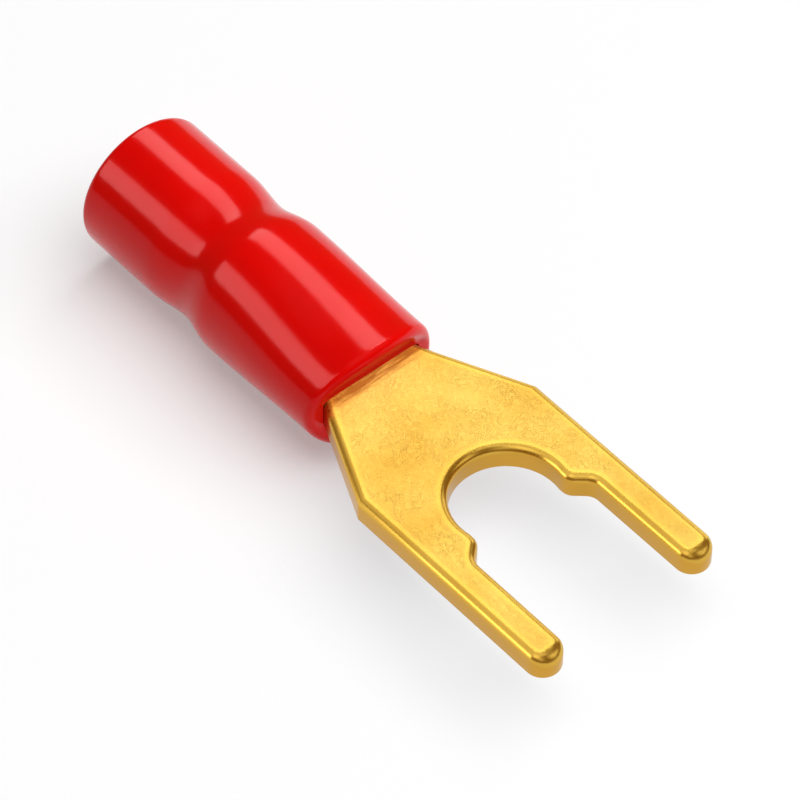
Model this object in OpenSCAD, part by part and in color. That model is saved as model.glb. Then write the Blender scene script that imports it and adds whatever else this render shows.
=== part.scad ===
// Insulated fork terminal: a gold-plated brass fork with a round wire barrel,
// and a soft moulded sleeve that covers the barrel.
// Millimetres. The origin is the centre of the stud seat, halfway through the tongue.
// +X runs along the terminal towards the prong tips, +Z is the axis of the stud.

/* [Tongue] */
// Thickness of the flat tongue
tongue_t = 1.6; // [1.2:0.1:2]
// Width across the outer edges of the two prongs
tongue_w = 12.7; // [11.6:0.1:14]
// From the centre of the stud seat forward to the prong tips
tip_reach = 9.7; // [7:0.1:14]
// From the centre of the stud seat back to the two shoulders
shoulder_back = 4.8; // [4.4:0.1:6.5]
// From the centre of the stud seat back to the mouth of the sleeve
mouth_back = 11.1; // [9.5:0.1:14]
// Width of the neck where it comes out of the sleeve
neck_w = 6.8; // [6.2:0.1:7.2]
// How much thicker each face of the neck is at the mouth, where it starts to swell
neck_rise = 0.1; // [0.05:0.05:0.15]
// Radius of the rounded upper edges
edge_r = 0.35; // [0.2:0.05:0.45]
// Radius of the upper edge at the end of each prong
tip_edge_r = 0.6; // [0.35:0.05:0.8]
// Radius of the broken lower edges
break_r = 0.15; // [0.1:0.05:0.25]

/* [Stud slot] */
// Diameter of the round seat for the stud
seat_d = 6.4; // [5.4:0.1:7]
// Width of the slot just ahead of the seat, narrower so that the stud stays seated
throat_w = 6.3; // [5.2:0.05:6.9]
// Gap between the prongs ahead of the step
entry_w = 8.4; // [7.8:0.1:9]
// From the centre of the seat forward to the middle of the step
step_ahead = 1.65; // [1.4:0.05:2.5]
// Slope of the step between the seat and the wider gap
step_angle = 48; // [40:1:60]
// Radius of the two bends of the step
step_r = 0.85; // [0.6:0.05:0.95]

/* [Wire barrel] */
// Outer diameter of the wire barrel
barrel_d = 6; // [5.4:0.1:6.2]
// Diameter of the hole for the bare wire
wire_d = 4.5; // [3.6:0.1:4.8]
// Length of the round barrel
barrel_l = 6; // [5.8:0.1:8]
// Depth of the hole for the bare wire
wire_depth = 5.6; // [4.5:0.1:5.8]
// Width of the lead-in bevel at the mouth of that hole
lead_in = 0.25; // [0.1:0.05:0.4]
// Length over which the neck thickens into the barrel
taper_l = 5.6; // [5:0.1:6.4]

/* [Sleeve] */
// Length of the sleeve
sleeve_l = 19.8; // [18:0.1:24]
// Outer diameter of the rear collar
collar_d = 8.55; // [8.3:0.05:10]
// Outer diameter of the waist
waist_d = 8; // [7.8:0.05:8.3]
// Outer diameter of the bulge ahead of the waist
bulge_d = 8.9; // [8.6:0.1:9.6]
// Height of the flattened front, before its lip is rounded
front_h = 7.1; // [6.8:0.1:8]
// Length of the slope from the collar down to the waist
collar_slope = 2.75; // [1.5:0.05:4]
// Length of the slope from the waist up to the bulge
bulge_slope = 2.6; // [2:0.1:4]
// Radius of the rounded rear rim
rim_r = 0.4; // [0.2:0.05:0.7]
// How far the lip of the mouth is rounded back
lip_l = 0.5; // [0.3:0.05:0.8]
// How far the lip is rounded in at the sides
lip_side = 0.45; // [0.3:0.05:0.55]
// How far the lip is rounded in above and below
lip_top = 0.6; // [0.4:0.05:0.7]
// How far the lip reaches ahead above and below the neck, compared with its sides
lip_over = 0.85; // [0.4:0.05:1.1]
// Width of the flat rim round the neck
mouth_rim = 0.25; // [0.2:0.05:0.3]
// Diameter of the opening for the insulated cable
cable_d = 6.6; // [5.8:0.1:6.8]
// Gap between the sleeve and the metal inside it
sleeve_clear = 0.05; // [0.02:0.01:0.1]

/* [Hidden] */
$fn = 96;
// Overrun of a cut past the face that it opens
lap = 0.5;
// Points round the sleeve
sleeve_sides = 48;
// Steps along each slope of the sleeve, and round its rim, its lip and the tongue's edges
slope_steps = 10;
round_steps = 4;
// Steps round a prong tip, and round each bend of the slot's step
tip_steps = 18;
bend_steps = 6;

// Half sizes and stations along the terminal
half_t = tongue_t / 2;
half_w = tongue_w / 2;
half_neck = neck_w / 2;
seat_r = seat_d / 2;
half_throat = throat_w / 2;
half_entry = entry_w / 2;
prong_r = (half_w - half_entry) / 2;
prong_y = half_entry + prong_r;
prong_x = tip_reach - prong_r;
shoulder_x = -shoulder_back;
mouth_x = -mouth_back;
barrel_x = mouth_x - taper_l;
barrel_end = barrel_x - barrel_l;
sleeve_end = mouth_x - sleeve_l;
barrel_r = barrel_d / 2;
neck_t = half_t + neck_rise;
neck_corner_r = norm([half_neck, neck_t]);
flat_end = mouth_x + lip_over + 0.1;

// The step of the slot: two equal bends joined by a straight stretch
step_rise = half_entry - half_throat;
bend_rise = step_r * (1 - cos(step_angle));
bend_run = step_r * sin(step_angle);
straight_run = (step_rise - 2 * bend_rise) / tan(step_angle);
step_start = step_ahead - straight_run / 2 - bend_run;
step_stop = step_ahead + straight_run / 2 + bend_run;
bend_a = [step_start, half_throat + step_r];
bend_b = [step_stop, half_entry - step_r];

// Smooth rise from a to b while u goes from 0 to 1
function ease(a, b, u) = a + (b - a) * (1 - cos(180 * min(1, max(0, u)))) / 2;

// Points of an arc, each with the move towards open space of an edge one millimetre out,
// and the radius of its upper edge, which grows to end_r where the arc faces forward
function arc_edge(centre, radius, from, to, steps, bulging, end_r = edge_r) = [
  for (i = [0 : steps])
    let (a = from + (to - from) * i / steps, out = [cos(a), sin(a)])
      [centre + radius * out, bulging ? out : -out, edge_r + (end_r - edge_r) * pow(cos(a), 2)]
];

// Edge of one half of the tongue, from the mouth of the sleeve to the middle of the seat:
// each entry is a point, its move towards open space, and the radius of its upper edge
flare = atan2(half_w - half_neck, mouth_back - shoulder_back);
half_edge = [
  [[mouth_x, half_neck], [0, 1 / cos(flare)], edge_r],
  [[flat_end, half_neck + (flat_end - mouth_x) * tan(flare)], [0, 1 / cos(flare)], edge_r],
  [[shoulder_x, half_w], [-tan(flare / 2), 1], edge_r],
  each arc_edge([prong_x, prong_y], prong_r, 90, -90, tip_steps, true, tip_edge_r),
  each arc_edge(bend_b, step_r, 90, 90 + step_angle, bend_steps, false),
  each arc_edge(bend_a, step_r, step_angle - 90, -90, bend_steps, true),
  [[0, half_throat], [1, -1], edge_r],
  [[0, 0], [1, 0], edge_r]
];

// The whole edge, one half and then its mirror image
function flip(v) = [v[0], -v[1]];
tongue_edge = [
  each half_edge,
  for (i = [len(half_edge) - 2 : -1 : 0])
    let (e = half_edge[i]) [flip(e[0]), flip(e[1]), e[2]]
];

// Levels of the tongue where its upper edge has radius r, each [height, how far the edge is drawn in]
function round_level(r, a) = [half_t - r * (1 - sin(a)), r * (1 - cos(a))];
function edge_levels(r) = [
  for (i = [round_steps : -1 : 0])
    let (level = round_level(break_r, 90 * i / round_steps)) [-level[0], level[1]],
  for (i = [0 : round_steps]) round_level(r, 90 * i / round_steps)
];

// Rise of each face of the tongue at x
function rise(x) = neck_rise * max(0, (flat_end - x) / (flat_end - mouth_x));

// Triangles of a face of the tongue: a fan from each shoulder, and two pairs across the neck
middle_i = len(half_edge) - 1;
end_i = 2 * middle_i;
face_triangles = [
  for (k = [3 : middle_i - 1]) [2, k, k + 1],
  [1, 2, middle_i],
  [1, middle_i, end_i - 1],
  [middle_i, end_i - 2, end_i - 1],
  for (k = [middle_i : end_i - 4]) [k, k + 1, end_i - 2],
  [0, 1, end_i - 1],
  [0, end_i - 1, end_i]
];

// Flat forked tongue, as a skin over its edge at each level
module tongue_skin() {
  n = len(tongue_edge);
  last = 2 * round_steps + 1;
  points = [
    for (j = [0 : last], e = tongue_edge)
      let (level = edge_levels(e[2])[j], p = e[0] - level[1] * e[1])
        [p[0], p[1], level[0] + sign(level[0]) * rise(p[0])]
  ];
  sides = [
    for (j = [0 : last - 1], k = [0 : n - 1])
      let (a = j * n + k, b = j * n + (k + 1) % n)
        each [[a, b, b + n], [a, b + n, a + n]]
  ];
  underside = [for (t = face_triangles) [t[2], t[1], t[0]]];
  top = [for (t = face_triangles) [for (k = t) last * n + k]];
  polyhedron(points, concat(sides, underside, top), convexity = 6);
}

// Round seat for the stud, opening out at both faces like the other edges
module seat_cut() {
  rotate_extrude()
    polygon([
      [0, -half_t - lap],
      [seat_r + break_r, -half_t - lap],
      for (level = edge_levels(edge_r)) [seat_r + level[1], level[0]],
      [seat_r + edge_r, half_t + lap],
      [0, half_t + lap]
    ]);
}

// Neck that thickens from the tongue into the round barrel, grown all round by a gap
module neck_taper(gap = 0) {
  slope = (barrel_r - neck_t) / taper_l;
  intersection() {
    translate([0, 0, -barrel_r - gap])
      linear_extrude(barrel_d + 2 * gap)
        polygon([
          [mouth_x, -half_neck - gap],
          [mouth_x, half_neck + gap],
          [barrel_x, barrel_r + gap],
          [barrel_x, -barrel_r - gap]
        ]);
    rotate([90, 0, 0])
      translate([0, 0, -half_neck - gap])
        linear_extrude(neck_w + 2 * gap)
          polygon([
            [mouth_x, -neck_t - gap],
            [mouth_x, neck_t + gap],
            [barrel_x, barrel_r + gap],
            [barrel_x, -barrel_r - gap]
          ]);
    translate([barrel_x, 0, 0])
      rotate([0, 90, 0])
        cylinder(h = taper_l, r1 = barrel_r + gap, r2 = neck_corner_r + gap + slope * gap);
  }
}

// One piece of plated brass: fork, neck and wire barrel
module fork_terminal() {
  color([0.91, 0.72, 0.25]) {
    difference() {
      tongue_skin();
      seat_cut();
    }
    neck_taper();
    difference() {
      translate([barrel_end, 0, 0]) rotate([0, 90, 0]) cylinder(h = barrel_l, r = barrel_r);
      translate([barrel_end - lap, 0, 0])
        rotate([0, 90, 0]) cylinder(h = wire_depth + lap, d = wire_d);
      translate([barrel_end, 0, 0])
        rotate([0, 90, 0]) cylinder(h = lead_in, r1 = wire_d / 2 + lead_in, r2 = wire_d / 2);
    }
  }
}

// Stations of the sleeve between its two rounded ends
collar_x = barrel_end - collar_slope;
bulge_x = barrel_end + bulge_slope;
lip_x = mouth_x - lip_l;
body_stations = [
  sleeve_end + rim_r,
  for (i = [0 : slope_steps]) collar_x + collar_slope * i / slope_steps,
  for (i = [1 : slope_steps]) barrel_end + bulge_slope * i / slope_steps,
  for (i = [1 : slope_steps]) bulge_x + (lip_x - bulge_x) * i / slope_steps
];

// Half width and half height of the sleeve at x, and how far it reaches ahead above and below
function sleeve_half_w(x) =
  x < barrel_end
    ? ease(collar_d / 2, waist_d / 2, (x - collar_x) / collar_slope)
    : ease(waist_d / 2, bulge_d / 2, (x - barrel_end) / bulge_slope);
function sleeve_half_h(x) =
  x < bulge_x
    ? sleeve_half_w(x)
    : ease(bulge_d / 2, front_h / 2, (x - bulge_x) / (lip_x - bulge_x));
function sleeve_over(x) = lip_over * max(0, (x - bulge_x) / (lip_x - bulge_x));

// Rings of the sleeve from the rear rim to the mouth, each [x, half width, half height,
// how far it reaches ahead above and below, squareness: 1 is an ellipse, smaller is squarer]
sleeve_rings = [
  for (i = [0 : round_steps - 1])
    let (a = 90 * i / round_steps, r = collar_d / 2 - rim_r * (1 - sin(a)))
      [sleeve_end + rim_r * (1 - cos(a)), r, r, 0, 1],
  for (x = body_stations) [x, sleeve_half_w(x), sleeve_half_h(x), sleeve_over(x), 1],
  for (i = [1 : round_steps])
    let (a = 90 * i / round_steps)
      [
        lip_x + lip_l * sin(a),
        bulge_d / 2 - lip_side * (1 - cos(a)),
        front_h / 2 - lip_top * (1 - cos(a)),
        lip_over,
        1
      ],
  [mouth_x, half_neck + mouth_rim, neck_t + mouth_rim, 0, 0.2]
];

// Point of a ring in the direction a
function ring_point(ring, a) = [
  ring[0] + ring[3] * pow(sin(a), 2),
  ring[1] * sign(cos(a)) * pow(abs(cos(a)), ring[4]),
  ring[2] * sign(sin(a)) * pow(abs(sin(a)), ring[4])
];

// Closed outer form of the sleeve, as a skin over its rings
module sleeve_skin() {
  n = sleeve_sides;
  last = len(sleeve_rings) - 1;
  points = [for (ring = sleeve_rings, k = [0 : n - 1]) ring_point(ring, 360 * k / n)];
  sides = [
    for (j = [0 : last - 1], k = [0 : n - 1])
      let (a = j * n + k, b = j * n + (k + 1) % n)
        each [[a, b, b + n], [a, b + n, a + n]]
  ];
  rear = [for (k = [n - 1 : -1 : 0]) k];
  front = [for (k = [0 : n - 1]) last * n + k];
  polyhedron(points, concat(sides, [rear, front]));
}

// Moulded sleeve: cable opening at the rear, seat for the barrel, and a mouth round the neck
module insulating_sleeve() {
  color([0.80, 0.03, 0.03])
    difference() {
      sleeve_skin();
      translate([sleeve_end - lap, 0, 0])
        rotate([0, 90, 0]) cylinder(h = sleeve_l - taper_l - barrel_l + lap - sleeve_clear, d = cable_d);
      translate([barrel_end - 2 * sleeve_clear, 0, 0])
        rotate([0, 90, 0])
          cylinder(h = barrel_l + 2 * sleeve_clear, r = barrel_r + sleeve_clear);
      neck_taper(sleeve_clear);
    }
}

fork_terminal();
insulating_sleeve();
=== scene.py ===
# %% [markdown]
# Insulated fork terminal
#
# A fork terminal ends a power cable at a screw post. A gold-plated brass fork slides under the
# screw, its round barrel grips the wire, and a soft red sleeve covers the joint. The solids of
# both pieces are already packed to size, so this lesson only dresses them: finer meshes of the
# same form, their finishes, and the light and camera of a product photograph.

# %% Load the solids
import math

import bmesh
import bpy
from mathutils import Matrix, Vector


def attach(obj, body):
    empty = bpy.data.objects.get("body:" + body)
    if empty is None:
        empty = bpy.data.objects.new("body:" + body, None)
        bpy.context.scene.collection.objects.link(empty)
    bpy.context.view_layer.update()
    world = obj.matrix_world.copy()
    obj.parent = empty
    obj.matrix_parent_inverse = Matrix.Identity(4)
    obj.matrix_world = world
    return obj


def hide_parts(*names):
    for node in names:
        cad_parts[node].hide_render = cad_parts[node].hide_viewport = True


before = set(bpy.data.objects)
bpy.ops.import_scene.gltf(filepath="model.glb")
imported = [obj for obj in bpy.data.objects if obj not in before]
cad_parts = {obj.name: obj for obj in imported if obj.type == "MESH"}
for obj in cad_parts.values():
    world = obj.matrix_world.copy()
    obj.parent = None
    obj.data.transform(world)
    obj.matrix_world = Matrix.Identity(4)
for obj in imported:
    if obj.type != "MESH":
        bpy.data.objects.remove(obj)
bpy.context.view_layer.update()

# %% [markdown]
# Sizes
#
# Every length below is a size of the real terminal in millimetres, and MM turns millimetres into
# Blender's metres. The origin is the centre of the stud seat, +X points to the prong tips and +Z
# is the axis of the stud. The upper edges are a little rounder than those of the solids, because
# the lines of light along the real edges are that wide.

# %% Sizes of the fork and the sleeve in millimetres
MM = 0.001
HALF_T, HALF_W, HALF_NECK, NECK_T = 0.8, 6.35, 3.4, 0.9
TIP_X, SHOULDER_X, MOUTH_X = 9.7, -4.8, -11.1
SEAT_R, HALF_THROAT, HALF_ENTRY = 3.2, 3.15, 4.2
STEP_X, STEP_ANGLE, STEP_R = 1.65, math.radians(48), 0.85
EDGE_R, TIP_EDGE_R, BREAK_R = 0.48, 0.80, 0.15
BARREL_R, WIRE_R, WIRE_DEPTH, LEAD_IN = 3.0, 2.25, 5.6, 0.25
BARREL_X, BARREL_END = -16.7, -22.7
SLEEVE_END, COLLAR_R, WAIST_R, BULGE_R, FRONT_H = -30.9, 4.275, 4.0, 4.45, 3.55
COLLAR_X, BULGE_X, LIP_X, LIP_OVER, MOUTH_RIM = -25.45, -20.1, -11.6, 0.85, 0.25
RIM_R, LIP_SIDE, LIP_TOP, CABLE_R, GAP = 0.4, 0.45, 0.6, 3.3, 0.05
LIP_CLEAR = 0.1
FLAT_END = MOUTH_X + LIP_OVER + LIP_CLEAR
print("length", round(TIP_X - SLEEVE_END, 2), "mm, width", 2 * HALF_W, "mm")

# %% [markdown]
# Edge of the fork
#
# The fork is punched from sheet, so one closed line in plan says everything: flared neck,
# shoulders, straight prongs with round ends, and a stepped slot that runs into a round seat. A
# curve object with a bevel could draw it, but its bevel would be the same all round. Here each
# point of the line carries the direction in which its edge is rounded and the radius of that
# rounding, because the prong tips of the real fork are rounder than its sides.

# %% Points of the edge
TIP_STEPS, BEND_STEPS, SEAT_STEPS = 48, 16, 56
TAIL_RUN, TAIL_TUCK = 0.6, 0.3


def arc(centre, radius, start, stop, steps, outward, end_r=EDGE_R):
    points = []
    for i in range(steps + 1):
        a = math.radians(start + (stop - start) * i / steps)
        out = Vector((math.cos(a), math.sin(a)))
        r = EDGE_R + (end_r - EDGE_R) * math.cos(a) ** 2
        points.append((centre + radius * out, outward * out, r))
    return points


prong_r = (HALF_W - HALF_ENTRY) / 2
prong_end = Vector((TIP_X - prong_r, HALF_ENTRY + prong_r))
step_rise = HALF_ENTRY - HALF_THROAT
bend_run = STEP_R * math.sin(STEP_ANGLE)
straight_run = (step_rise - 2 * STEP_R * (1 - math.cos(STEP_ANGLE))) / math.tan(STEP_ANGLE)
bend_a = Vector((STEP_X - straight_run / 2 - bend_run, HALF_THROAT + STEP_R))
bend_b = Vector((STEP_X + straight_run / 2 + bend_run, HALF_ENTRY - STEP_R))
step_deg = math.degrees(STEP_ANGLE)
seat_from = math.degrees(math.asin(HALF_THROAT / SEAT_R))
flare = math.atan2(HALF_W - HALF_NECK, SHOULDER_X - MOUTH_X)
flare_out = Vector((0, 1 / math.cos(flare)))
flat_end_half = HALF_NECK + (FLAT_END - MOUTH_X) * math.tan(flare)

# The first point is the neck's tail, tucked into the sleeve.
half_edge = [
    (Vector((MOUTH_X - TAIL_RUN, HALF_NECK - TAIL_TUCK)), Vector((0, 1)), EDGE_R),
    (Vector((MOUTH_X, HALF_NECK)), flare_out, EDGE_R),
    (Vector((FLAT_END, flat_end_half)), flare_out, EDGE_R),
    (Vector((SHOULDER_X, HALF_W)), Vector((-math.tan(flare / 2), 1)), EDGE_R),
]
half_edge += arc(prong_end, prong_r, 90, -90, TIP_STEPS, 1, TIP_EDGE_R)
half_edge += arc(bend_b, STEP_R, 90, 90 + step_deg, BEND_STEPS, -1)
half_edge += arc(bend_a, STEP_R, step_deg - 90, -90, BEND_STEPS, 1)
half_edge += arc(Vector((0, 0)), SEAT_R, seat_from, 180, SEAT_STEPS, -1)

flip = Vector((1, -1))
fork_edge = half_edge + [(p * flip, m * flip, r) for p, m, r in reversed(half_edge[:-1])]
print("edge of the fork:", len(fork_edge), "points")

# %% [markdown]
# Fork mesh
#
# A bevel modifier on an extruded plan would round the edge too, but it gives little say over
# where its loops fall. Stacking copies of the edge line, each drawn in a little as it rises, gives
# the rounding exactly and leaves two extra loops on each flat face, which keep that face flat in a
# mirror finish. The loops carry two values for the finish: grain is 1 on the flats only, and wall
# is 1 on the sheared walls and fades out on the rounding. The wall value places painted shade.

# %% Skin of the tongue
ROUND_STEPS, WALL_SHADE_FADE_STEPS = 8, 5
HOLD_IN, GRAIN_IN = 0.03, 0.25


# Each level is its height, how far it is drawn in, its grain and its wall value, which is the
# share of painted shade.
def edge_levels(r):
    levels = [
        (-HALF_T, BREAK_R + GRAIN_IN, 1.0, 0.0),
        (-HALF_T, BREAK_R + HOLD_IN, 0.0, 0.0),
    ]
    for i in range(ROUND_STEPS, -1, -1):
        a = math.pi / 2 * i / ROUND_STEPS
        z = -HALF_T + BREAK_R * (1 - math.sin(a))
        levels.append((z, BREAK_R * (1 - math.cos(a)), 0.0, 1 - i / ROUND_STEPS))
    for i in range(ROUND_STEPS + 1):
        a = math.pi / 2 * i / ROUND_STEPS
        z = HALF_T - r * (1 - math.sin(a))
        levels.append((z, r * (1 - math.cos(a)), 0.0, max(0.0, 1 - i / WALL_SHADE_FADE_STEPS)))
    levels += [(HALF_T, r + HOLD_IN, 0.0, 0.0), (HALF_T, r + GRAIN_IN, 1.0, 0.0)]
    return levels


def ring_faces(first, rings, n):
    faces = []
    for j in range(rings - 1):
        for k in range(n):
            a, b = first + j * n + k, first + j * n + (k + 1) % n
            faces.append((a, a + n, b + n, b))
    return faces


level_count = len(edge_levels(EDGE_R))
n = len(fork_edge)
fork_points, fork_grain, fork_wall_shade = [], [], []
for j in range(level_count):
    for p, move, r in fork_edge:
        z, inset, grain, wall = edge_levels(r)[j]
        q = p - inset * move
        swell = (NECK_T - HALF_T) * max(0.0, (FLAT_END - q.x) / (FLAT_END - MOUTH_X))
        fork_points.append((q.x, q.y, z + math.copysign(swell, z)))
        fork_grain.append(grain)
        fork_wall_shade.append(wall)
fork_faces = ring_faces(0, level_count, n)
fork_faces.append(tuple(range(n)))
fork_faces.append(tuple((level_count - 1) * n + k for k in range(n - 1, -1, -1)))
print("tongue:", len(fork_points), "points")

# %% [markdown]
# Neck and barrel
#
# Inside the sleeve the neck swells into a round barrel with a bevelled hole for the wire. From
# behind, the barrel's end shows through the cable opening, so it has its real wall and depth. A
# lathe-like run of rings makes it: each ring is a station along X with a half width and a half
# height. Its power makes it square (0.2) or round (1), so the first rings start as the flat neck,
# and its over bends the ring forward above and below, which the sleeve's lip needs later.

# %% Rings of the neck and barrel
BARREL_ROUND, NECK_STEPS, NECK_FROM, NECK_POWER = 64, 8, 0.02, 0.2
UNDER, BEVEL, CORE_R = 0.02, 0.1, 0.02


def ring(count, x, half_y, half_z, power=1.0, over=0.0):
    points = []
    for k in range(count):
        a = 2 * math.pi * k / count
        c, s = math.cos(a), math.sin(a)
        y = half_y * math.copysign(abs(c) ** power, c)
        z = half_z * math.copysign(abs(s) ** power, s)
        points.append((x + over * s * s, y, z))
    return points


def neck_ring(count, u, gap):
    return ring(
        count,
        MOUTH_X + (BARREL_X - MOUTH_X) * u,
        HALF_NECK + gap + (BARREL_R - HALF_NECK) * u,
        NECK_T + gap + (BARREL_R - NECK_T) * u,
        NECK_POWER + (1 - NECK_POWER) * u,
    )


barrel_rings = [
    neck_ring(BARREL_ROUND, NECK_FROM + (1 - NECK_FROM) * i / NECK_STEPS, -UNDER)
    for i in range(NECK_STEPS + 1)
]
bore_end = BARREL_END + WIRE_DEPTH
for x, r in [
    (BARREL_END + BEVEL, BARREL_R - UNDER), (BARREL_END, BARREL_R - UNDER - BEVEL),
    (BARREL_END, WIRE_R + LEAD_IN), (BARREL_END + LEAD_IN, WIRE_R),
    (bore_end - BEVEL, WIRE_R), (bore_end, WIRE_R - BEVEL), (bore_end, CORE_R),
]:
    barrel_rings.append(ring(BARREL_ROUND, x, r, r))

first = len(fork_points)
for one in barrel_rings:
    fork_points += one
    fork_grain += [0.0] * BARREL_ROUND
    fork_wall_shade += [0.0] * BARREL_ROUND
fork_faces += ring_faces(first, len(barrel_rings), BARREL_ROUND)
fork_faces.append(tuple(first + k for k in range(BARREL_ROUND)))
last = first + (len(barrel_rings) - 1) * BARREL_ROUND
fork_faces.append(tuple(last + k for k in range(BARREL_ROUND - 1, -1, -1)))
print("neck and barrel:", len(barrel_rings), "rings")

# %% [markdown]
# From points to a piece
#
# Both pieces become mesh objects in the same way: millimetres to metres, faces turned outward,
# smooth shading, and edges marked sharp where two faces meet at a real corner.

# %% Mesh of the fork
def make_piece(name, points, faces, sharp_deg):
    mesh = bpy.data.meshes.new(name)
    mesh.from_pydata([tuple(c * MM for c in p) for p in points], [], faces)
    shell = bmesh.new()
    shell.from_mesh(mesh)
    bmesh.ops.recalc_face_normals(shell, faces=shell.faces)
    shell.to_mesh(mesh)
    shell.free()
    mesh.polygons.foreach_set("use_smooth", [True] * len(mesh.polygons))
    mesh.set_sharp_from_angle(angle=math.radians(sharp_deg))
    piece = bpy.data.objects.new(name, mesh)
    bpy.context.scene.collection.objects.link(piece)
    return piece


plated_fork = make_piece("plated_fork", fork_points, fork_faces, sharp_deg=20)
for name, values in (("grain", fork_grain), ("wall", fork_wall_shade)):
    plated_fork.data.attributes.new(name, "FLOAT", "POINT").data.foreach_set("value", values)
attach(plated_fork, "root")
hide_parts("fork_terminal")
print("plated_fork:", len(plated_fork.data.polygons), "faces")

# %% [markdown]
# Sleeve
#
# The sleeve is dip-moulded: a hot former goes into liquid PVC and comes out with a soft even skin,
# so every corner of it is round. It is one wall that runs from the rear rim over the collar, the
# waist and the bulge to the lip, in at the mouth round the flat neck, and back along the barrel to
# the cable opening. A closed run of rings draws that wall in one go, with no modifier to apply.

# %% Rings of the sleeve's outside
SLEEVE_ROUND, SLEEVE_STEPS, MOUTH_GAP = 128, 72, 0.02


def ease(a, b, u):
    u = min(1.0, max(0.0, u))
    return a + (b - a) * (1 - math.cos(math.pi * u)) / 2


# What ring() needs at x: half width, half height, power and over.
def sleeve_half(x):
    if x < BARREL_END:
        wide = ease(COLLAR_R, WAIST_R, (x - COLLAR_X) / (BARREL_END - COLLAR_X))
    else:
        wide = ease(WAIST_R, BULGE_R, (x - BARREL_END) / (BULGE_X - BARREL_END))
    front = max(0.0, (x - BULGE_X) / (LIP_X - BULGE_X))
    high = wide if x < BULGE_X else ease(BULGE_R, FRONT_H, front)
    return wide, high, 1.0, LIP_OVER * front


sleeve_rings = []
for i in range(ROUND_STEPS + 1):
    a = math.pi / 2 * i / ROUND_STEPS
    r = COLLAR_R - RIM_R * (1 - math.sin(a))
    sleeve_rings.append(ring(SLEEVE_ROUND, SLEEVE_END + RIM_R * (1 - math.cos(a)), r, r))
for i in range(1, SLEEVE_STEPS + 1):
    x = SLEEVE_END + RIM_R + (LIP_X - SLEEVE_END - RIM_R) * i / SLEEVE_STEPS
    sleeve_rings.append(ring(SLEEVE_ROUND, x, *sleeve_half(x)))
for i in range(1, ROUND_STEPS + 1):
    a = math.pi / 2 * i / ROUND_STEPS
    sleeve_rings.append(ring(
        SLEEVE_ROUND,
        LIP_X + (MOUTH_X - LIP_X) * math.sin(a),
        BULGE_R - LIP_SIDE * (1 - math.cos(a)),
        FRONT_H - LIP_TOP * (1 - math.cos(a)),
        1.0, LIP_OVER,
    ))
print("outside of the sleeve:", len(sleeve_rings), "rings")

# %% Rings of the sleeve's inside, and its mesh
sleeve_rings.append(ring(
    SLEEVE_ROUND, MOUTH_X, HALF_NECK + MOUTH_RIM, NECK_T + MOUTH_RIM, NECK_POWER,
))
for i in range(NECK_STEPS + 1):
    gap = MOUTH_GAP if i == 0 else GAP
    sleeve_rings.append(neck_ring(SLEEVE_ROUND, i / NECK_STEPS, gap))
for x, r in [
    (BARREL_END - GAP, BARREL_R + GAP), (BARREL_END - GAP, CABLE_R),
    (SLEEVE_END + BEVEL, CABLE_R), (SLEEVE_END, CABLE_R + BEVEL),
]:
    sleeve_rings.append(ring(SLEEVE_ROUND, x, r, r))

sleeve_points = [p for one in sleeve_rings for p in one]
count = len(sleeve_points)
open_faces = ring_faces(0, len(sleeve_rings) + 1, SLEEVE_ROUND)
sleeve_faces = [tuple(v % count for v in f) for f in open_faces]
pvc_sleeve = make_piece("pvc_sleeve", sleeve_points, sleeve_faces, sharp_deg=35)
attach(pvc_sleeve, "root")
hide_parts("insulating_sleeve")
print("pvc_sleeve:", len(pvc_sleeve.data.polygons), "faces")

# %% [markdown]
# Colours and nodes
#
# Colours are written as the sRGB hex that a picture program shows, and one function turns them
# into the linear light that Blender's sockets hold. One more function adds a node, sets it up,
# links it, and colours the stops of a ramp. Pattern sizes are in millimetres, and a noise
# texture's scale is how many of them fit into a metre.

# %% Helpers for materials
def linear(hex_colour):
    parts = [int(hex_colour[i:i + 2], 16) / 255 for i in (1, 3, 5)]
    return [c / 12.92 if c <= 0.04045 else ((c + 0.055) / 1.055) ** 2.4 for c in parts] + [1.0]


def add_node(tree, kind, inputs=None, stops=(), **settings):
    made = tree.nodes.new(kind)
    for key, value in settings.items():
        setattr(made, key, value)
    for key, value in (inputs or {}).items():
        if isinstance(value, bpy.types.NodeSocket):
            tree.links.new(value, made.inputs[key])
        else:
            made.inputs[key].default_value = value
    for i, (position, hex_colour) in enumerate(stops):
        made.color_ramp.elements[i].position = position
        made.color_ramp.elements[i].color = linear(hex_colour)
    return made


def start_material(name):
    material = bpy.data.materials.new(name)
    material.use_nodes = True
    material.node_tree.nodes.clear()
    return material, material.node_tree


def per_metre(size_mm):
    return 1000 / size_mm


print("a mid grey as linear light:", [round(c, 3) for c in linear("#808080")])
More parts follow.
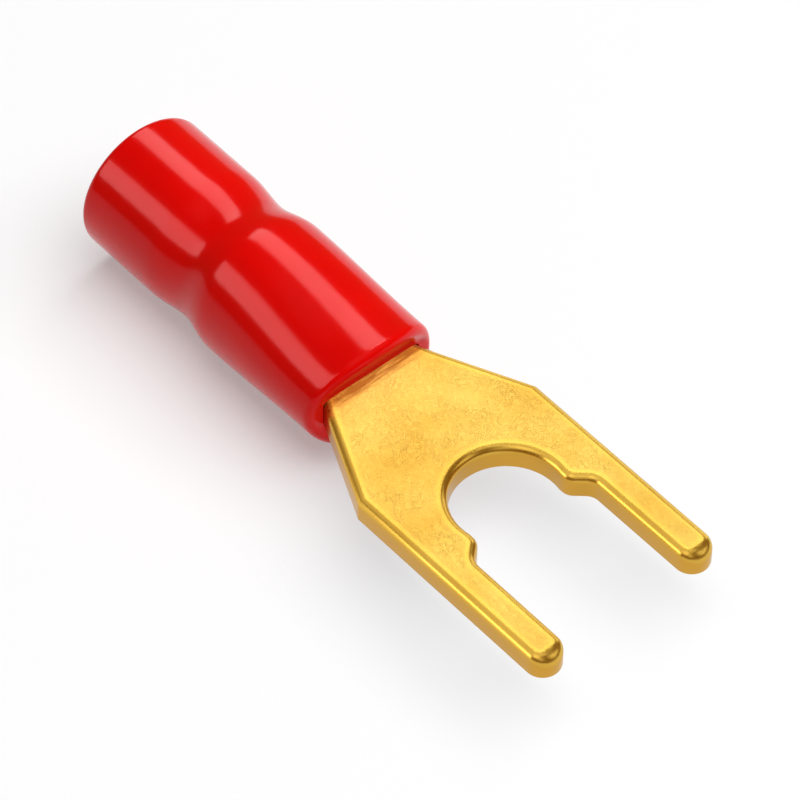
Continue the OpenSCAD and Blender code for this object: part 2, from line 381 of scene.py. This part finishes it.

# %% [markdown]
# Gold plating on stamped brass
#
# The fork is brass, stamped, tumbled and then plated with a few micrometres of gold. The plating
# is a true metal: metallic 1, the default IOR, and all the colour in the base. To the eye it is a
# satin mirror, duller on the flats, where the die leaves a skin of fine wrinkles, and brighter on
# the rounded edges. The sheared walls and the lower part of the upper rounding get a browner tone,
# which is painted shade: it stands for the shadowed paper that they mirror. The grain and wall
# values of the mesh say which surface is which.
#
# The tones come first. One flat colour would look like paint, so a slow noise of 4 mm, the size
# of the cloudiness that tumbling leaves, moves each tone a little. On the flats a share of a fine
# noise, the crumple, is added to it.

# %% Gold plating: tones of the edges and flats
CRUMPLE_SHARE = 0.25
gold, tree = start_material("gold_plated_stamped_brass")
place = add_node(tree, "ShaderNodeTexCoord").outputs["Object"]
flat_mask = add_node(tree, "ShaderNodeAttribute", attribute_name="grain").outputs["Fac"]
# The wall value says where painted shade browns the gold.
wall_shade_mask = add_node(tree, "ShaderNodeAttribute", attribute_name="wall").outputs["Fac"]
cloud = add_node(tree, "ShaderNodeTexNoise", {
    "Vector": place, "Scale": per_metre(4.0), "Detail": 2.0, "Roughness": 0.5,
}).outputs["Fac"]
crumple = add_node(tree, "ShaderNodeTexNoise", {
    "Vector": place, "Scale": per_metre(0.26),
    "Detail": 2.0, "Roughness": 0.5, "Distortion": 1.0,
}).outputs["Fac"]
mottle = add_node(tree, "ShaderNodeMath", {
    0: crumple, 1: CRUMPLE_SHARE, 2: cloud,
}, operation="MULTIPLY_ADD").outputs["Value"]
bright = add_node(tree, "ShaderNodeValToRGB", {"Fac": cloud}, [
    (0.35, "#E2B94C"), (0.65, "#ECC85A"),
]).outputs["Color"]
satin = add_node(tree, "ShaderNodeValToRGB", {"Fac": mottle}, [
    (0.44, "#E6BA50"), (0.80, "#EFCF66"),
]).outputs["Color"]
smooth_tone = add_node(tree, "ShaderNodeMix", {
    "Factor": flat_mask, "A": bright, "B": satin,
}, data_type="RGBA").outputs["Result"]
print("tones of the gold:", len(tree.nodes), "nodes")

# %% [markdown]
# Wrinkles of the flats
#
# Seen closely, the flats carry short thin wrinkles that come and go in patches. Plain noise in a
# bump gives round pits instead. The places where a noise passes through its middle value are thin
# winding lines, so those lines, broken up by a second noise of 1.3 mm and kept to the flats, are
# the wrinkles. They are about a quarter of a millimetre apart, hence the 0.26 mm of the crumple,
# and each line is drawn wider than the real one, which would be too fine to show.

# %% Gold plating: wrinkles
MIDDLE, LINE_HALF, WRINKLE_TINT = 0.5, 0.06, 0.36
from_middle = add_node(tree, "ShaderNodeMath", {
    0: crumple, 1: MIDDLE,
}, operation="SUBTRACT").outputs["Value"]
off_line = add_node(tree, "ShaderNodeMath", {
    0: from_middle,
}, operation="ABSOLUTE").outputs["Value"]
line = add_node(tree, "ShaderNodeMapRange", {
    "Value": off_line, "From Max": LINE_HALF, "To Min": 1.0, "To Max": 0.0,
}).outputs["Result"]
patch = add_node(tree, "ShaderNodeTexNoise", {
    "Vector": place, "Scale": per_metre(1.3), "Detail": 3.0, "Roughness": 0.7,
}).outputs["Fac"]
patch_share = add_node(tree, "ShaderNodeMapRange", {
    "Value": patch, "From Min": 0.15, "From Max": 0.70,
}).outputs["Result"]
in_patch = add_node(tree, "ShaderNodeMath", {
    0: line, 1: patch_share,
}, operation="MULTIPLY").outputs["Value"]
wrinkle = add_node(tree, "ShaderNodeMath", {
    0: in_patch, 1: flat_mask,
}, operation="MULTIPLY").outputs["Value"]
wrinkle_share = add_node(tree, "ShaderNodeMath", {
    0: wrinkle, 1: WRINKLE_TINT,
}, operation="MULTIPLY").outputs["Value"]
flat_tone = add_node(tree, "ShaderNodeMix", {
    "Factor": wrinkle_share, "A": smooth_tone, "B": linear("#B4842E"),
}, data_type="RGBA").outputs["Result"]
print("with its wrinkles:", len(tree.nodes), "nodes")

# %% [markdown]
# Walls and mouth: painted shade
#
# The walls get their browner tone from the wall value, which is painted shade. By the mouth of the
# sleeve, fine brown streaks across the neck are painted shade and a painted dark reflection of the
# sleeve's lip: a noise of 0.16 mm, drawn out across the neck by shrinking its Y, that fades out
# about a millimetre ahead of the mouth. The shader then takes the finished tone, the two
# roughnesses and a shallow bump of the wrinkles, which are pressed in.

# %% Gold plating: painted shade on the walls and by the mouth, and shader
MOUTH_SHADE_FULL, MOUTH_SHADE_END = 0.15, 1.1
# Painted shade: the walls and lower rounding get a browner tone for the shadowed paper they mirror.
painted_wall_shade = add_node(tree, "ShaderNodeMix", {
    "Factor": wall_shade_mask, "A": flat_tone, "B": linear("#CC9A3A"),
}, data_type="RGBA").outputs["Result"]
along = add_node(tree, "ShaderNodeSeparateXYZ", {"Vector": place}).outputs["X"]
# Painted shade and a painted dark reflection of the sleeve's lip, as brown streaks on the neck.
near_mouth = add_node(tree, "ShaderNodeMapRange", {
    "Value": along, "To Min": 1.0, "To Max": 0.0,
    "From Min": (MOUTH_X + MOUTH_SHADE_FULL) * MM, "From Max": (MOUTH_X + MOUTH_SHADE_END) * MM,
}).outputs["Result"]
across_neck = add_node(tree, "ShaderNodeMapping", {
    "Vector": place, "Scale": (1.0, 0.08, 1.0),
}).outputs["Vector"]
shade_streaks = add_node(tree, "ShaderNodeTexNoise", {
    "Vector": across_neck, "Scale": per_metre(0.16), "Detail": 2.0, "Roughness": 0.6,
}).outputs["Fac"]
streaked_shade = add_node(tree, "ShaderNodeMath", {
    0: near_mouth, 1: shade_streaks,
}, operation="MULTIPLY").outputs["Value"]
mouth_shade_share = add_node(tree, "ShaderNodeMapRange", {
    "Value": streaked_shade, "From Min": 0.10, "From Max": 0.42, "To Max": 0.9,
}).outputs["Result"]
tone = add_node(tree, "ShaderNodeMix", {
    "Factor": mouth_shade_share, "A": painted_wall_shade, "B": linear("#99591A"),
}, data_type="RGBA").outputs["Result"]
rough = add_node(tree, "ShaderNodeMapRange", {
    "Value": flat_mask, "To Min": 0.27, "To Max": 0.36,
}).outputs["Result"]
relief = add_node(tree, "ShaderNodeBump", {
    "Strength": 0.6, "Distance": 0.008 * MM, "Height": wrinkle,
}, invert=True).outputs["Normal"]
metal = add_node(tree, "ShaderNodeBsdfPrincipled", {
    "Base Color": tone, "Metallic": 1.0, "Roughness": rough, "Normal": relief,
}).outputs["BSDF"]
add_node(tree, "ShaderNodeOutputMaterial", {"Surface": metal})
plated_fork.data.materials.append(gold)
print("finish:", gold.name)

# %% [markdown]
# Dip-moulded PVC
#
# Soft PVC cures against air, so to the eye its skin is glossy, with a faint slow waviness a few
# millimetres long, and its pigment is dense and even. Plain PVC has an IOR of about 1.53. Here 1.36
# and a red specular tint are matched to the strips of light on the real sleeve, which are pink
# rather than white. The roughness is low enough to draw the edges of a softbox, a little soft.

# %% Red PVC
pvc, tree = start_material("dip_moulded_red_pvc")
place = add_node(tree, "ShaderNodeTexCoord").outputs["Object"]
wave = add_node(tree, "ShaderNodeTexNoise", {
    "Vector": place, "Scale": per_metre(3.5), "Detail": 2.0, "Roughness": 0.4,
}).outputs["Fac"]
fine = add_node(tree, "ShaderNodeTexNoise", {
    "Vector": place, "Scale": per_metre(0.5), "Detail": 2.0, "Roughness": 0.5,
}).outputs["Fac"]
pigment = add_node(tree, "ShaderNodeValToRGB", {"Fac": wave}, [
    (0.3, "#DC0303"), (0.7, "#E40404"),
]).outputs["Color"]
gloss = add_node(tree, "ShaderNodeMapRange", {
    "Value": fine, "From Min": 0.3, "From Max": 0.7, "To Min": 0.13, "To Max": 0.16,
}).outputs["Result"]
skin = add_node(tree, "ShaderNodeBump", {
    "Strength": 0.25, "Distance": 0.05 * MM, "Height": wave,
}).outputs["Normal"]
plastic = add_node(tree, "ShaderNodeBsdfPrincipled", {
    "Base Color": pigment, "Roughness": gloss, "Normal": skin,
    "IOR": 1.36, "Specular Tint": (1.0, 0.45, 0.43, 1.0),
}).outputs["BSDF"]
add_node(tree, "ShaderNodeOutputMaterial", {"Surface": plastic})
pvc_sleeve.data.materials.append(pvc)
print("finish:", pvc.name)

# %% [markdown]
# Floor
#
# The terminal lies on white seamless paper: a large plane under the lowest line of the sleeve,
# matt and nearly white. Matt paper alone would need more light to look white, and that light would
# wash out the terminal. So a third of what the camera, a mirror or a clear thing sees of the paper
# is a white glow of strength 1, and the rest is lit as usual and keeps the soft shadow.

# %% White paper
PAPER_HALF, PAPER_GLOW = 1, 0.33
floor_z = -BULGE_R * MM
corners = [(-1, -1), (1, -1), (1, 1), (-1, 1)]
floor_mesh = bpy.data.meshes.new("paper_floor")
floor_mesh.from_pydata(
    [(x * PAPER_HALF, y * PAPER_HALF, floor_z) for x, y in corners], [], [(0, 1, 2, 3)],
)
floor = bpy.data.objects.new("paper_floor", floor_mesh)
bpy.context.scene.collection.objects.link(floor)
paper, tree = start_material("white_seamless_paper")
sheet = add_node(tree, "ShaderNodeBsdfDiffuse", {"Color": linear("#FCFCFC")}).outputs["BSDF"]
glow = add_node(tree, "ShaderNodeEmission", {
    "Color": linear("#FFFFFF"), "Strength": 1.0,
}).outputs["Emission"]
path = add_node(tree, "ShaderNodeLightPath").outputs
seen = path["Is Camera Ray"]
for ray in ("Is Glossy Ray", "Is Transmission Ray"):
    seen = add_node(tree, "ShaderNodeMath", {
        0: seen, 1: path[ray],
    }, operation="ADD").outputs["Value"]
share = add_node(tree, "ShaderNodeMapRange", {
    "Value": seen, "To Max": PAPER_GLOW,
}).outputs["Result"]
lit = add_node(tree, "ShaderNodeMixShader", {0: share, 1: sheet, 2: glow}).outputs["Shader"]
add_node(tree, "ShaderNodeOutputMaterial", {"Surface": lit})
floor_mesh.materials.append(paper)
print("floor at z =", floor_z)

# %% [markdown]
# Camera
#
# A long lens from above and to the right flattens the perspective, as product pictures do. The
# camera's own axes are given by a turn, an elevation and a slight roll, and its place by how far
# it stands to the side, up and back along those axes.

# %% Camera
SENSOR_MM, FOCAL_PX, FRAME_PX = 36, 5191.07, 800
SIDE_MM, UP_MM, BACK_MM = -5.717, 5.516, 275.035
turn, rise, roll = math.radians(48.453), math.radians(49.437), math.radians(0.818)
right = Vector((math.cos(turn), math.sin(turn), 0))
back = Vector((
    math.sin(turn) * math.cos(rise), -math.cos(turn) * math.cos(rise), math.sin(rise),
))
up = back.cross(right)
cam_x = right * math.cos(roll) + up * math.sin(roll)
cam_y = up * math.cos(roll) - right * math.sin(roll)
place_mm = cam_x * SIDE_MM + cam_y * UP_MM + back * BACK_MM

lens = bpy.data.cameras.new("product_camera")
lens.sensor_width = SENSOR_MM
lens.lens = SENSOR_MM * FOCAL_PX / FRAME_PX
lens.clip_start, lens.clip_end = 0.01, 10
camera = bpy.data.objects.new("product_camera", lens)
bpy.context.scene.collection.objects.link(camera)
axes = Matrix((cam_x, cam_y, back)).transposed().to_4x4()
camera.matrix_world = Matrix.Translation(place_mm * MM) @ axes
bpy.context.scene.camera = camera
print("camera at", [round(v, 1) for v in place_mm], "mm, lens", round(lens.lens, 1), "mm")

# %% [markdown]
# Light
#
# The key overhead lights the colours and casts the soft shadow, and is kept out of reflections. It
# has two parts in one place: both pieces shade the first, and only the sleeve shades the second,
# so the thin fork has the paler shadow. The other softboxes are seen in reflections only. A tent
# of white cloth could do that work too, but light linking lets each box serve one piece: two
# strips draw the straight lines of light along the sleeve, and the boxes round the fork fill its
# flat top and its rounded edges.

# %% Softboxes
# A box with a piece is seen only in that piece. A box with a shade is shaded by that piece alone.
def softbox(name, toward, distance_mm, size_mm, radiance, piece=None, shade=None):
    light = bpy.data.lights.new(name, "AREA")
    light.shape = "RECTANGLE"
    light.size, light.size_y = size_mm[0] * MM, size_mm[1] * MM
    light.energy = radiance * math.pi * light.size * light.size_y
    lamp = bpy.data.objects.new(name, light)
    bpy.context.scene.collection.objects.link(lamp)
    across = Vector((0, toward[1], toward[2])).normalized()
    lamp.location = (Vector((toward[0], 0, 0)) + across) * distance_mm * MM
    along = Vector((1, 0, 0))
    lamp.rotation_euler = Matrix((along, across.cross(along), across)).transposed().to_euler()
    lamp.visible_diffuse, lamp.visible_glossy = piece is None, piece is not None
    if piece:
        served = bpy.data.collections.new("lit_by_" + name)
        served.objects.link(piece)
        lamp.light_linking.receiver_collection = served
        lamp.light_linking.blocker_collection = served
    if shade:
        shading = bpy.data.collections.new("shading_from_" + name)
        shading.objects.link(shade)
        lamp.light_linking.blocker_collection = shading
    print(name, "at", [round(v, 3) for v in lamp.location], "m")


key_place = ((0.36, 0.26, 1.0), 1000, (1400, 1400))
softbox("key_softbox", *key_place, 1.85)
softbox("soft_key_box", *key_place, 1.0, shade=pvc_sleeve)
softbox("sleeve_back_strip", (-0.46, 0.46, 0.89), 400, (480, 190), 5.9, pvc_sleeve)
softbox("sleeve_left_strip", (-0.46, -0.78, 0.62), 400, (480, 200), 5.4, pvc_sleeve)
softbox("fork_back_box", (-0.70, 0.49, 0.87), 400, (420, 220), 1.4, plated_fork)
softbox("fork_low_box", (-0.56, -0.95, 0.30), 400, (300, 220), 2.6, plated_fork)
softbox("fork_tip_box", (1.17, 0.66, 0.75), 400, (420, 300), 0.8, plated_fork)
softbox("fork_rear_box", (-0.54, 0.95, 0.30), 400, (420, 200), 1.0, plated_fork)
softbox("fork_fill_box", (-0.20, -0.25, 0.97), 420, (620, 640), 0.6, plated_fork)
softbox("fork_front_box", (0.75, -0.60, 0.80), 450, (700, 300), 0.5, plated_fork)

# %% [markdown]
# Room
#
# The room is a dim white in its light, and warm drapes in reflections, so that the gold has no
# black edges where it mirrors no softbox. The fork is hidden from diffuse rays, so it throws no
# yellow light on the paper.

# %% Room
world = bpy.data.worlds.new("studio_room")
bpy.context.scene.world = world
world.use_nodes = True
tree = world.node_tree
tree.nodes.clear()
reflected = add_node(tree, "ShaderNodeLightPath").outputs["Is Glossy Ray"]
room = add_node(tree, "ShaderNodeBackground", {
    "Color": linear("#FFFFFF"), "Strength": 0.08,
}).outputs["Background"]
drapes = add_node(tree, "ShaderNodeBackground", {
    "Color": linear("#E6B878"), "Strength": 0.32,
}).outputs["Background"]
seen_room = add_node(tree, "ShaderNodeMixShader", {
    0: reflected, 1: room, 2: drapes,
}).outputs["Shader"]
add_node(tree, "ShaderNodeOutputWorld", {"Surface": seen_room})
bpy.context.scene.view_settings.view_transform = "Standard"
plated_fork.visible_diffuse = False
print("room:", world.name)
